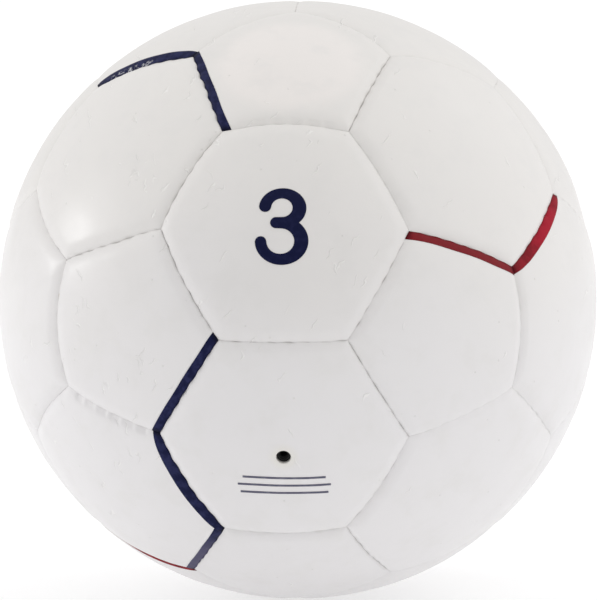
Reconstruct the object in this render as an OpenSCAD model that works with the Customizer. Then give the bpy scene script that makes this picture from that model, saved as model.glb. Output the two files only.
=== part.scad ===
// A size 3 handball: 32 sewn panels, 20 hexagons and 12 pentagons, round a bladder with a needle valve.
// The origin is the ball's centre. +Z is up, and -Y is the side with the numeral and the valve.

/* [Ball] */
// Diameter of the inflated ball over the crowns of its panels
ball_d = 188; // [160:1:194]

/* [Cover] */
// Thickness of a cover panel's sheet
cover_t = 1.4; // [1.2:0.1:1.6]
// Thickness of the cloth lining behind a panel
lining_t = 1; // [0.8:0.1:1.2]
// Clearance between layers that lie on each other
layer_gap = 0.05; // [0.03:0.01:0.08]

/* [Seams] */
// Width of the slit between two panels
seam_gap = 0.3; // [0.2:0.05:0.5]
// How far the edges of a seam lie below the crowns
seam_recess = 1; // [0.8:0.1:1.2]
// Width of the rounded shoulder beside a seam
shoulder_w = 2.8; // [2.4:0.1:3.2]
// Radius of the rounded shoulder in cross-section
shoulder_r = 4.8; // [4.6:0.1:6]
// Depth of the seam allowance that is turned in below a seam's edge
allowance = 3.6; // [3.4:0.1:5]

/* [Stitching] */
// Diameter of the thread where it passes through a seam
thread_d = 0.8; // [0.6:0.1:0.9]
// Diameter of the two threads that lie along the inside of a seam
lay_d = 1; // [0.95:0.05:1.2]
// How much the laid threads are flattened against the cloth
lay_flat = 0.25; // [0.15:0.05:0.25]
// Distance between stitches
stitch_pitch = 5.2; // [4:0.1:6]
// Distance from a seam's end to its last stitch
stitch_margin = 3.6; // [3.4:0.1:5]
// Depth of the stitches below a seam's edge
stitch_depth = 2.3; // [2.1:0.1:2.6]

/* [Bladder] */
// Thickness of the bladder's rubber
bladder_t = 1.3; // [1:0.1:2]
// Radius of the round needle valve's neck, where it passes through the bladder and the lining
neck_r = 5.5; // [5:0.1:6]

/* [Valve] */
// Distance of the valve below the middle of its panel, measured on the surface
valve_drop = 3.3; // [0:0.1:6]
// Diameter of the hole in the cover over the valve
valve_hole_d = 4.4; // [3.6:0.1:5]
// Radius of the valve's flange, which is bonded to the inside of the bladder
flange_r = 14; // [12:0.5:18]
// Thickness of the valve's flange
flange_t = 1.6; // [1.2:0.1:2.5]
// Radius of the rubber core that plugs the neck
core_r = 2.9; // [2.4:0.1:3.2]
// Radius of the core's head
core_head_r = 4; // [3.6:0.1:4.5]
// Height of the core's head
core_head_h = 1.5; // [1.2:0.1:2]
// Length of the core's tail inside the bladder
core_tail = 4; // [3:0.5:8]
// Diameter of the passage for the inflating needle
needle_d = 2; // [1.8:0.1:2.4]

/* [Print] */
// Thickness of the printed ink
ink_t = 0.12; // [0.08:0.01:0.2]
// Width of the printed bands beside the seams, at their ends
band_w = 2.7; // [1.5:0.1:4]
// How much wider a band between two hexagons is in its middle
band_bow = 1.4; // [0.5:0.1:2]
// Height of the printed numeral
numeral_h = 23.6; // [16:0.1:28]
// Width of the printed numeral
numeral_w = 15.8; // [12:0.1:20]
// Width of the numeral's strokes at its top, middle and foot
stroke_t = 3.4; // [2.5:0.1:3.8]
// Width of the numeral's strokes at its right side
stroke_side_t = 4.1; // [3:0.1:4.6]
// Length of the three plain lines printed below the valve
line_l = 27; // [20:1:30]
// Width of those lines
line_t = 0.7; // [0.4:0.1:1.2]
// Distance from one of those lines to the next
line_pitch = 2.7; // [2:0.1:3.5]
// Distance from the valve's centre to the first of those lines
line_drop = 7.2; // [5:0.1:8]

/* [Hidden] */
$fn = 96;
over = 1;
ball_r = ball_d / 2;

// Directions of the panels' middles: the twelve pentagons stand at the corners of an icosahedron
// and the twenty hexagons over its faces.
golden = (1 + sqrt(5)) / 2;
function unit(v) = v / norm(v);
function turned(v, k) = [for (j = [0:2]) v[(j + k) % 3]];
SIGNS = [for (s = [-1, 1]) for (t = [-1, 1]) [s, t]];
PENTAGONS = [for (k = [0:2]) for (s = SIGNS) unit(turned([s[0], s[1] * golden, 0], k))];
number_dir = unit([0, -golden * golden, 1]);
valve_dir = unit([0, -golden * golden, -1]);
CORNER_HEXAGONS = [for (s = SIGNS) for (z = [-1, 1]) unit([s[0], s[1], z])];
SIDE_HEXAGONS = [for (k = [0:2]) for (s = SIGNS) unit(turned([0, s[0] * golden * golden, s[1]], k))];
function same(a, b) = norm(a - b) < 0.01;
PLAIN_HEXAGONS = [for (a = concat(CORNER_HEXAGONS, SIDE_HEXAGONS))
    if (!same(a, number_dir) && !same(a, valve_dir)) a];
HEXAGONS = concat([number_dir, valve_dir], PLAIN_HEXAGONS);
PANELS = concat(PENTAGONS, HEXAGONS);

// Two panels share a seam when their middles lie under fifty degrees apart.
near_dot = cos(50);
function touching(a, b) = !same(a, b) && a * b > near_dot;
function neighbours(a) = [for (b = PANELS) if (touching(a, b)) b];
function beside(a, b) = [for (c = neighbours(a)) if (same(b, c) || touching(b, c)) c];
HEXAGON_SEAMS = [for (i = [0:len(HEXAGONS) - 2]) for (j = [i + 1:len(HEXAGONS) - 1])
    if (touching(HEXAGONS[i], HEXAGONS[j])) [HEXAGONS[i], HEXAGONS[j]]];
PENTAGON_SEAMS = [for (a = PENTAGONS) for (b = neighbours(a)) [a, b]];

// Angles at the ball's centre: from a panel's middle to its seams, and half of a seam's length
hexagon_tilt = acos(unit([1, 1, 1]) * unit([0, golden * golden, 1])) / 2;
pentagon_tilt = acos(unit([1, golden, 0]) * unit([1, 1, 1])) - hexagon_tilt;
function tilt(a) = len(neighbours(a)) == 6 ? hexagon_tilt : pentagon_tilt;
seam_half = atan(sin(hexagon_tilt) * tan(30));
function arc_angle(length, r) = length / r * 180 / PI;

// Depths below the crowns
edge_r = ball_r - seam_recess;
allowance_r = edge_r - allowance;
lining_r = ball_r - cover_t - layer_gap;
lined_r = ball_r - cover_t - lining_t;
stitch_r = edge_r - stitch_depth;
lined_off = seam_gap / 2 + cover_t + lining_t;
lay_off = lined_off + layer_gap + lay_d / 2 - lay_flat;

// Stitches: as many as the pitch allows between the margins
seam_l = 2 * seam_half * PI / 180 * ball_r;
stitch_n = floor((seam_l - 2 * stitch_margin) / stitch_pitch) + 1;
stitch_step = arc_angle(stitch_pitch, ball_r);
stitch_span = (stitch_n - 1) * stitch_step;
hole_r = thread_d / 2 + layer_gap;

// Bladder: it lies on the ends of the turned-in seams
bladder_r = allowance_r - layer_gap;
hollow_r = bladder_r - bladder_t;

// Valve, along its own axis
valve_tilt = hexagon_tilt + arc_angle(valve_drop, ball_r);
neck_top = ball_r - cover_t - layer_gap;
flange_top = hollow_r - layer_gap;
flange_foot = flange_top - flange_t;
head_foot = neck_top - core_head_h - layer_gap;
core_foot = flange_foot - core_tail;
needle_r = needle_d / 2;
tail_r_share = 0.7;
mouth_r_share = 1.6;

// Numeral: two bowls that share the middle stroke
upper_share = 0.53;
upper_w_share = 0.89;
stub_share = 0.11;
cap_angle = 8;
bowl_n = 48;

// Bands: the panel that carries each and its neighbour across the seam, on the front.
// The back repeats them after a half turn about the Z axis.
NAVY_SEAMS = [
    [[0, -1, golden], [-1, -1, 1]],
    [[-1, 0, golden * golden], [-1, -1, 1]],
    [[-1, -golden, 0], [0, -golden * golden, -1]],
    [[-1, -1, -1], [0, -golden * golden, -1]],
    [[-1, -1, -1], [0, -1, -golden]]
];
RED_SEAMS = [
    [[1, -golden, 0], [1, -1, 1]],
    [[golden * golden, -1, 0], [1, -1, 1]],
    [[-1, 0, -golden * golden], [-1, -1, -1]]
];
function half_turn(v, s) = [s * v.x, s * v.y, v.z];

function two_digits(i) = str(i < 10 ? "0" : "", i);
function hexagon_name(i) = str("hexagon_panel_", two_digits(i + 1));
function pentagon_name(i) = str("pentagon_panel_", two_digits(i + 1));

// Puts its children on the seam between panels a and b: x points out of panel a, y runs along the seam
// and z points out of the ball through the seam's middle.
module at_seam(a, b) {
    u = unit(b - (b * a) * a);
    x = cos(tilt(a)) * u - sin(tilt(a)) * a;
    z = cos(tilt(a)) * a + sin(tilt(a)) * u;
    y = cross(z, x);
    multmatrix([[x.x, y.x, z.x, 0], [x.y, y.y, z.y, 0], [x.z, y.z, z.z, 0], [0, 0, 0, 1]]) children();
}

// Everything on the far side of a seam, and of a strip of width off beside it
module beyond(off) {
    side = 2 * (ball_r + over);
    translate([-off, -side / 2, -side / 2]) cube(side);
}

// The part of a ball of radius r inside a panel's seams, less a strip of width off along each
module wedge(a, r, off, seams) {
    difference() {
        sphere(r);
        for (b = seams) at_seam(a, b) beyond(off);
    }
}

// What the rounded shoulder beside a seam takes off a ball that stands proud of the crowns by lift
module shoulder(lift) {
    edge = [edge_r, seam_gap / 2];
    crown = [sqrt(ball_r * ball_r - shoulder_w * shoulder_w), shoulder_w];
    half = (crown - edge) / 2;
    rise = sqrt(shoulder_r * shoulder_r - half * half);
    centre = (crown + edge) / 2 + rise * unit([-half.y, half.x]);
    up = [lift, 0];
    reach = seam_half + arc_angle(shoulder_w, ball_r);
    rotate([0, -90, 0]) rotate([0, 0, -reach]) rotate_extrude(angle = 2 * reach) difference() {
        polygon([[edge_r + lift, 0], edge + up, crown + up, [ball_r + over, shoulder_w], [ball_r + over, 0]]);
        translate(centre) circle(shoulder_r + lift);
    }
}

// A solid panel out to the strips of width off beside its seams. Its shoulders are cut one after another.
module crowned(a, seams, off, lift, k) {
    if (k < 0) wedge(a, ball_r + lift, off, seams);
    else difference() {
        crowned(a, seams, off, lift, k - 1);
        at_seam(a, seams[k]) shoulder(lift);
    }
}

// Places its children at each stitch of a seam, with z out of the ball and y along the seam
module at_stitches() {
    for (k = [0:stitch_n - 1])
        rotate([(k - (stitch_n - 1) / 2) * stitch_step, 0, 0]) translate([0, 0, stitch_r]) children();
}

module stitch_holes(a) {
    for (b = neighbours(a)) at_seam(a, b) at_stitches()
        rotate([0, -90, 0]) cylinder(r = hole_r, h = lined_off + over);
}

// One cover panel: a crowned sheet whose edges are turned in and pierced for the stitches
module cover(a) {
    seams = neighbours(a);
    difference() {
        crowned(a, seams, seam_gap / 2, 0, len(seams) - 1);
        wedge(a, ball_r - cover_t, seam_gap / 2 + cover_t, seams);
        sphere(allowance_r);
        stitch_holes(a);
    }
}

// The cloth behind one panel, turned in with it
module lining(a) {
    seams = neighbours(a);
    difference() {
        wedge(a, lining_r, seam_gap / 2 + cover_t + layer_gap, seams);
        wedge(a, lined_r, lined_off, seams);
        sphere(allowance_r);
        stitch_holes(a);
    }
}

// The saddle stitch of one seam: two threads laid along its inside and the stitches through it
module seam_thread(a, b) {
    lay_span = stitch_span + arc_angle(thread_d, stitch_r);
    at_seam(a, b) {
        for (s = [0, 1]) mirror([s, 0, 0]) rotate([0, -90, 0]) rotate([0, 0, -lay_span / 2])
            rotate_extrude(angle = lay_span) translate([stitch_r, lay_off]) difference() {
                circle(d = lay_d);
                translate([-lay_d, lay_flat - 2.5 * lay_d]) square(2 * lay_d);
            }
        at_stitches() rotate([0, 90, 0]) cylinder(d = thread_d, h = 2 * lay_off, center = true);
    }
}

module number_panel() color("whitesmoke") cover(number_dir);
module hexagon_panel(i) color("whitesmoke") cover(PLAIN_HEXAGONS[i]);
module pentagon_panel(i) color("whitesmoke") cover(PENTAGONS[i]);

// Places its children on the valve's axis, which is z and points out of the ball
module at_valve() rotate([90 + valve_tilt, 0, 0]) children();

module valve_panel() {
    color("whitesmoke") difference() {
        cover(valve_dir);
        at_valve() translate([0, 0, lined_r]) cylinder(d = valve_hole_d, h = ball_r + over - lined_r);
    }
}

module hexagon_linings() {
    color("wheat") difference() {
        for (a = HEXAGONS) lining(a);
        at_valve() cylinder(r = neck_r + layer_gap, h = ball_r);
    }
}

module pentagon_linings() {
    color("wheat") for (a = PENTAGONS) lining(a);
}

module hexagon_seam_threads() {
    color("gainsboro") for (s = HEXAGON_SEAMS) seam_thread(s[0], s[1]);
}

module pentagon_seam_threads() {
    color("gainsboro") for (s = PENTAGON_SEAMS) seam_thread(s[0], s[1]);
}

// Hollow rubber ball that the turned-in seams rest on, open round the valve's neck
module bladder() {
    color("dimgray") difference() {
        sphere(bladder_r);
        sphere(hollow_r);
        at_valve() cylinder(r = neck_r + layer_gap, h = ball_r);
    }
}

// Rubber neck and flange of the valve, bonded into the bladder
module valve_neck() {
    color("black") difference() {
        union() {
            at_valve() translate([0, 0, flange_foot]) cylinder(r = neck_r, h = neck_top - flange_foot);
            intersection() {
                sphere(flange_top);
                at_valve() cylinder(r = flange_r, h = ball_r);
            }
        }
        sphere(flange_foot);
        at_valve() cylinder(r = core_r + layer_gap, h = ball_r);
        at_valve() translate([0, 0, head_foot]) cylinder(r = core_head_r + layer_gap, h = core_head_h + over);
    }
}

// Rubber plug with the needle's passage, closed to a narrow tail inside the bladder
module valve_core() {
    color("black") at_valve() difference() {
        union() {
            translate([0, 0, flange_foot]) cylinder(r = core_r, h = neck_top - flange_foot);
            translate([0, 0, head_foot + layer_gap]) cylinder(r = core_head_r, h = core_head_h);
            translate([0, 0, core_foot]) cylinder(r1 = core_r * tail_r_share, r2 = core_r, h = core_tail);
        }
        cylinder(r = needle_r, h = ball_r);
        translate([0, 0, neck_top - needle_r])
            cylinder(r1 = needle_r, r2 = needle_r * mouth_r_share, h = needle_r);
    }
}

// The strip beside a seam that a band covers, whose far edge is straight or bows out in the middle
module band_strip(bowed) {
    half_l = ball_r * sin(seam_half);
    bow_r = (half_l * half_l + band_bow * band_bow) / (2 * band_bow);
    if (bowed) translate([bow_r - band_w - band_bow, 0, 0]) cylinder(r = bow_r, h = ball_r + over, $fn = 360);
    else translate([-band_w, -ball_r, 0]) cube([band_w, ball_d, ball_r + over]);
}

// A layer of ink on panel a along its seam with b
module band(a, b) {
    seams = beside(a, b);
    difference() {
        intersection() {
            crowned(a, seams, seam_gap / 2, ink_t + layer_gap, len(seams) - 1);
            at_seam(a, b) band_strip(len(neighbours(a)) == 6 && len(neighbours(b)) == 6);
        }
        crowned(a, seams, 0, layer_gap, len(seams) - 1);
    }
}

module bands(seams) {
    for (s = [1, -1]) for (p = seams) band(unit(half_turn(p[0], s)), unit(half_turn(p[1], s)));
}

module navy_bands() color("midnightblue") bands(NAVY_SEAMS);
module red_bands() color("firebrick") bands(RED_SEAMS);

// Keeps the part of its children that lies in a layer of ink on the crowns
module inked() {
    difference() {
        intersection() {
            children();
            sphere(ball_r + ink_t + layer_gap);
        }
        sphere(ball_r + layer_gap);
    }
}

// One bowl of the numeral, an oval ring of height h and width w whose side towards the gap is cut away
module bowl(w, h, foot) {
    from = foot ? 90 : 180 - cap_angle;
    to = foot ? 180 + cap_angle : 270;
    tip = (foot ? to : from);
    oval = [for (i = [0:bowl_n - 1]) [cos(i * 360 / bowl_n), sin(i * 360 / bowl_n)]];
    inner = [w / 2 - (stroke_t + stroke_side_t) / 2, h / 2 - stroke_t];
    shift = (stroke_t - stroke_side_t) / 2;
    difference() {
        polygon([for (p = oval) [p.x * w / 2, p.y * h / 2]]);
        polygon([for (p = oval) [p.x * inner.x + shift, p.y * inner.y]]);
        polygon([[0, 0], w * [cos(from), sin(from)], w * [-1, foot ? 1 : -1], w * [cos(to), sin(to)]]);
    }
    translate([cos(tip) * (w - stroke_t) / 2, sin(tip) * (h - stroke_t) / 2]) circle(d = stroke_t);
}

module numeral_outline() {
    upper_h = upper_share * numeral_h;
    lower_h = numeral_h - upper_h + stroke_t;
    stub_l = stub_share * numeral_w;
    stub_y = numeral_h / 2 - upper_h + stroke_t / 2;
    translate([0, (numeral_h - upper_h) / 2]) bowl(upper_w_share * numeral_w, upper_h, false);
    translate([0, (lower_h - numeral_h) / 2]) bowl(numeral_w, lower_h, true);
    translate([-stub_l, stub_y - stroke_t / 2]) square([2 * stub_l, stroke_t]);
    translate([-stub_l, stub_y]) circle(d = stroke_t);
}

module numeral_print() {
    color("midnightblue") inked() rotate([90 - hexagon_tilt, 0, 0]) linear_extrude(ball_d) numeral_outline();
}

// Three plain straight lines below the valve's hole
module valve_lines() {
    color("midnightblue") inked() at_valve() linear_extrude(ball_d) for (k = [0:2])
        translate([0, -line_drop - k * line_pitch]) square([line_l, line_t], center = true);
}

number_panel();
valve_panel();
for (i = [0:len(PLAIN_HEXAGONS) - 1])
    hexagon_panel(i);
for (i = [0:len(PENTAGONS) - 1])
    pentagon_panel(i);
hexagon_linings();
pentagon_linings();
hexagon_seam_threads();
pentagon_seam_threads();
bladder();
valve_neck();
valve_core();
navy_bands();
red_bands();
numeral_print();
valve_lines();
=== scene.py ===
import math

import bmesh
import bpy
import numpy as np
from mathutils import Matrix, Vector


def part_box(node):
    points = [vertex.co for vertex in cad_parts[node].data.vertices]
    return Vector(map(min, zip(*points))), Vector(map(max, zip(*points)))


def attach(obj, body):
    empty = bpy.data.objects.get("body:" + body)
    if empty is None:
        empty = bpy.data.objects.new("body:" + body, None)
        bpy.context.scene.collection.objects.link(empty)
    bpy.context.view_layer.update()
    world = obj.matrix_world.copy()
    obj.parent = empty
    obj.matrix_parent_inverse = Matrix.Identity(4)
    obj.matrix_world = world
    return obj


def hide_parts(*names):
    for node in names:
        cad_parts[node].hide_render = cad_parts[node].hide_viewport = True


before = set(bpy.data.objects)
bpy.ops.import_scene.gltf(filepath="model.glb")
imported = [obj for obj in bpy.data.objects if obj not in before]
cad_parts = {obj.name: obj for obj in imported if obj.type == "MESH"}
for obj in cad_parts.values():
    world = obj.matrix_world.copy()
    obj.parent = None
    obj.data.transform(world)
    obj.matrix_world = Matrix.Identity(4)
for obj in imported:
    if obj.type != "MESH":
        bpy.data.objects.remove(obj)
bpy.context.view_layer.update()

# Lengths are in millimetres here and become metres where a mesh is made.
MM = 0.001
BALL_R = 94.0

# Cover panels: their sheet, the gap at a seam of the solids, the slit that shows, and the turned-in wall
SHEET_T = 1.4
SEAM_GAP = 0.3
SLIT = 0.05
CLOSED_SLIT = 0.005
FOOT_R = 89.4
INNER_R = BALL_R - SHEET_T
INNER_OFF = SEAM_GAP / 2 + SHEET_T
WALL_FILLET = 0.3

# Depth and width of the skin's fall beside a seam: a wide swell, the shoulder, a roll and the lip at its foot
SWELL_DEPTH = 0.25
SWELL_W = 13.0
SHOULDER_DEPTH = 0.88
SHOULDER_W = 3.9
ROLL_DEPTH = 0.13
ROLL_W = 1.3
LIP_DEPTH = 0.3
LIP_W = 0.75
CORNER_SHARPNESS = 4

# How far from a seam its bow, its sway and its closing move the skin, how deep down the wall all this ends,
# and how far from a corner the corner's own move reaches
BOW_REACH = 10.0
SWAY_REACH = 1.4
CLOSING_REACH = 0.5
BOW_SINK = 1.2
WARP_REACH = 12.0

# Unevenness of the skin away from the seams: the depth of its waves and ripples, and of each how many there
# are, the shortest and the longest in mm, and the seed of their draw
WAVE_DEPTH = 0.05
WAVES = (14, 9, 30, 7)
RIPPLE_DEPTH = 0.012
RIPPLES = (20, 2.5, 6, 8)

# Stitches: six to a seam. Each pulls the lip down, and the slit opens and closes in their rhythm. Some seams
# have dimples beside them.
STITCH_PITCH = 5.2
STITCH_SPAN = 15.6
STITCH_FADE = 1.5
STITCH_PULL = 0.16
SLOW_BEAT_SHARE = 0.37
PUFF_W = 2.4
RIDGE_W = 0.9
DIMPLE_W = 1.8
DIMPLE_EDGE = 0.7
DIMPLE_DEPTH = 0.5

# Valve hole
HOLE_R = 2.2
RIM_R = 0.4
COLLAR_R = 5.2
VALVE_DROP = 3.3

# Print: the film's top and foot over the skin, the bands, the numeral's place, and the lines below the valve
INK_LIFT = 0.09
INK_FOOT = 0.015
BAND_W = 2.7
BAND_BOW = 0.8
BAND_TAPER_SHARE = 0.22
BAND_WAVER = 0.04
NARROW_SHARE = 0.4
NUMERAL_STRETCH = (1.015, 1.0)
NUMERAL_LEFT = (0.4, 0.0)
LINES = (25.0, 28.0, 26.4)
LINE_T = 0.7
LINE_PITCH = 2.8
LINE_DROP = 7.5

# Heights of the relief on the cover, on the linings and threads, and on the rubber
GRAIN_H = 0.025
CREASE_H = 0.07
PIT_DEPTH = 0.08
CLOTH_H = 0.12
RUBBER_H = 0.03

# Colours of the cover: low and high on the ball, one panel whiter as painted light, round the valve, in
# patches, painted highlight and painted shade beside creases, a darker grey in pits, and a grey of dirt and
# painted shade in seams and dimples
LOW_WHITE = (0.779, 0.763, 0.77)
HIGH_WHITE = (0.767, 0.745, 0.722)
PAINTED_LIGHT_WHITE = (0.835, 0.795, 0.77)
YELLOWED = (0.74, 0.71, 0.58)
GREYER = (0.72, 0.705, 0.69)
CREASE_PAINTED_HIGHLIGHT = (0.95, 0.94, 0.92)
CREASE_PAINTED_SHADE = (0.55, 0.54, 0.52)
DIRT_AND_SHADE_GREY = (0.5, 0.49, 0.46)

# Middles in mm of the yellowed place at the valve hole and of the panel made whiter by painted light
VALVE_STAIN = (0.0, -86.6, -36.6)
PAINTED_LIGHT_PANEL = (0.0, -49.0, 80.0)

# Light: the dome's level, then each wall's axis, the cosines where it fades in and its added level
DOME_LEVEL = 0.68
WALLS = [
    ((0.05, -0.99, 0.13), 0.35, 0.97, -0.57),
    ((0.9, -0.02, 0.42), 0.3, 0.95, 0.51),
    ((0.0, -0.3, 1.0), 0.3, 0.95, 0.41),
    ((0.05, 1.0, 0.35), 0.4, 0.95, 0.1),
    ((-0.97, -0.05, 0.25), 0.3, 0.95, 0.15),
]

# The softbox on the left, in metres and watts, and the floor's half width in metres and its glow
SOFTBOX_PLACE = (-1.62, 0.12, 0.42)
SOFTBOX_SIZE = 0.45
SOFTBOX_POWER = 4.3
FLOOR_HALF = 12
FLOOR_GLOW = 0.46

# The photograph's view: degrees, distance in ball radii, and the focal length and the ball's centre in pixels
AZIMUTH, ELEVATION = 2.93, 7.39
DISTANCE_SHARE = 18.868
FOCAL_PX = 5641
CENTRE_PX = (298.2, 299.6)
PICTURE_MIDDLE_PX = (298.5, 300)
LONG_SIDE_PX = 600

GOLDEN = (1 + 5 ** 0.5) / 2
SQUARE = GOLDEN ** 2


def unit(v):
    """v over its length, for one vector or an array of them."""
    v = np.asarray(v, float)
    return v / np.linalg.norm(v, axis=-1, keepdims=True)


# Middles of the panels that show in front and of one behind them, by their place in the picture
NUMBER = (0, -SQUARE, 1)
VALVE = (0, -SQUARE, -1)
LEFT_PENTAGON = (-1, -GOLDEN, 0)
RIGHT_PENTAGON = (1, -GOLDEN, 0)
TOP_PENTAGON = (0, -1, GOLDEN)
FOOT_PENTAGON = (0, -1, -GOLDEN)
UPPER_LEFT = (-1, -1, 1)
UPPER_RIGHT = (1, -1, 1)
LOWER_LEFT = (-1, -1, -1)
LOWER_RIGHT = (1, -1, -1)
FAR_LEFT = (-SQUARE, -1, 0)
FAR_RIGHT = (SQUARE, -1, 0)
CROWN_LEFT = (-1, 0, SQUARE)
CROWN_RIGHT = (1, 0, SQUARE)
FOOT_LEFT = (-1, 0, -SQUARE)
FOOT_RIGHT = (1, 0, -SQUARE)
SIDE_LEFT = (-GOLDEN, 0, 1)
SIDE_RIGHT = (GOLDEN, 0, 1)
LOW_LEFT = (-GOLDEN, 0, -1)
LOW_RIGHT = (GOLDEN, 0, -1)
BACK_RIGHT = (SQUARE, 1, 0)

# Printed bands: the panel that carries each, and its neighbour across the seam
NAVY_BANDS = [
    (TOP_PENTAGON, UPPER_LEFT),
    (CROWN_LEFT, UPPER_LEFT),
    (LEFT_PENTAGON, VALVE),
    (LOWER_LEFT, VALVE),
    (LOWER_LEFT, FOOT_PENTAGON),
]
RED_BANDS = [
    (RIGHT_PENTAGON, UPPER_RIGHT),
    (FAR_RIGHT, UPPER_RIGHT),
    (FOOT_LEFT, LOWER_LEFT),
]
NARROW_BAND = (FOOT_LEFT, LOWER_LEFT)

# Hand-sewn seams: bow from the first panel towards the second, how open the slit is, sway of its line, and
# how wide and how deep its shoulders are
SEAMS = [
    (NUMBER, LEFT_PENTAGON, 0.7, 0.9, 0.07, 1.0, 1.0),
    (NUMBER, UPPER_LEFT, 1.1, 0.7, 0.06, 1.0, 1.0),
    (NUMBER, RIGHT_PENTAGON, 0.3, 0.15, 0.06, 1.0, 1.0),
    (NUMBER, UPPER_RIGHT, 0.3, -0.6, 0.05, 1.2, 1.0),
    (NUMBER, TOP_PENTAGON, 0.6, -0.6, 0.04, 1.3, 1.0),
    (NUMBER, VALVE, 0.8, 0.3, 0.06, 0.9, 0.9),
    (RIGHT_PENTAGON, VALVE, 0.4, 0.7, 0.03, 1.1, 1.0),
    (VALVE, LOWER_LEFT, 1.0, 0.25, 0.16, 1.0, 1.0),
    (VALVE, LEFT_PENTAGON, 0.0, 0.2, 0.1, 1.0, 1.0),
    (VALVE, FOOT_PENTAGON, 1.1, 0.3, 0.04, 0.9, 1.0),
    (VALVE, LOWER_RIGHT, 0.6, -0.1, 0.05, 1.0, 1.25),
    (LOWER_RIGHT, FOOT_PENTAGON, 0.5, 0.9, 0.1, 1.1, 1.0),
    (UPPER_RIGHT, TOP_PENTAGON, 0.4, 0.8, 0.09, 0.9, 1.0),
    (RIGHT_PENTAGON, UPPER_RIGHT, 0.9, -0.1, 0.06, 1.0, 1.0),
    (TOP_PENTAGON, UPPER_LEFT, 0.4, 0.3, 0.2, 1.0, 0.9),
    (TOP_PENTAGON, CROWN_LEFT, 2.8, -0.5, 0.04, 0.9, 0.4),
    (TOP_PENTAGON, CROWN_RIGHT, 3.0, -0.5, 0.03, 1.0, 0.5),
    (UPPER_RIGHT, CROWN_RIGHT, 3.0, -0.5, 0.03, 1.0, 0.55),
    (UPPER_RIGHT, SIDE_RIGHT, 3.0, -0.5, 0.03, 1.1, 0.65),
    (UPPER_LEFT, SIDE_LEFT, 2.5, -0.5, 0.03, 1.0, 0.5),
    (LEFT_PENTAGON, UPPER_LEFT, 0.5, 0.6, 0.08, 1.2, 1.1),
    (UPPER_LEFT, CROWN_LEFT, 1.1, 0.4, 0.17, 1.0, 0.9),
    (UPPER_RIGHT, FAR_RIGHT, 0.9, -0.1, 0.1, 1.0, 1.0),
    (LEFT_PENTAGON, LOWER_LEFT, 0.3, -0.4, 0.04, 1.0, 0.9),
    (RIGHT_PENTAGON, LOWER_RIGHT, 0.0, -0.4, 0.08, 0.8, 0.25),
    (LEFT_PENTAGON, FAR_LEFT, 2.2, -0.2, 0.03, 1.2, 1.15),
    (UPPER_LEFT, FAR_LEFT, 0.8, -0.3, 0.03, 1.4, 1.3),
    (RIGHT_PENTAGON, FAR_RIGHT, 2.2, -0.1, 0.03, 0.85, 0.95),
    (LOWER_RIGHT, FAR_RIGHT, 0.3, 0.0, 0.07, 1.2, 1.0),
    (LOWER_LEFT, FAR_LEFT, 0.5, -0.3, 0.03, 1.1, 1.3),
    (LOWER_LEFT, FOOT_LEFT, 1.3, 0.1, 0.04, 0.8, 0.6),
    (SIDE_LEFT, CROWN_LEFT, 0.0, 0.1, 0.05, 1.0, 0.25),
    (SIDE_RIGHT, CROWN_RIGHT, 0.0, 0.1, 0.05, 1.0, 0.25),
    (LOW_RIGHT, FOOT_RIGHT, 0.0, 0.1, 0.05, 1.0, 0.3),
    (LOWER_RIGHT, LOW_RIGHT, 0.9, -0.4, 0.03, 1.0, 0.2),
    (FAR_RIGHT, LOW_RIGHT, 0.0, -0.1, 0.05, 1.0, 0.3),
    (FAR_LEFT, LOW_LEFT, 0.0, 0.0, 0.05, 1.0, 0.3),
    (LOWER_LEFT, LOW_LEFT, 0.4, -0.3, 0.03, 1.0, 0.35),
    (LOW_LEFT, FOOT_LEFT, 0.0, 0.1, 0.05, 1.0, 0.3),
    (CROWN_LEFT, CROWN_RIGHT, 0.0, 0.4, 0.03, 1.0, 0.35),
    (LOWER_RIGHT, FOOT_RIGHT, 0.6, -0.4, 0.03, 1.0, 0.2),
    (FOOT_PENTAGON, FOOT_RIGHT, 0.0, -0.4, 0.03, 1.0, 0.4),
    (FOOT_PENTAGON, FOOT_LEFT, 0.0, -0.4, 0.03, 1.0, 0.3),
    (FAR_RIGHT, SIDE_RIGHT, 1.0, 0.2, 0.03, 1.5, 0.5),
    (SIDE_RIGHT, BACK_RIGHT, 0.0, 0.0, 0.03, 2.0, 0.45),
]

# The least and the greatest bow, openness, sway, width and depth of the seams that SEAMS leaves out
LEAST_SEAM = (-0.5, -0.2, 0.03, 0.8, 0.7)
GREATEST_SEAM = (0.5, 0.6, 0.1, 1.3, 1.1)

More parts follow.
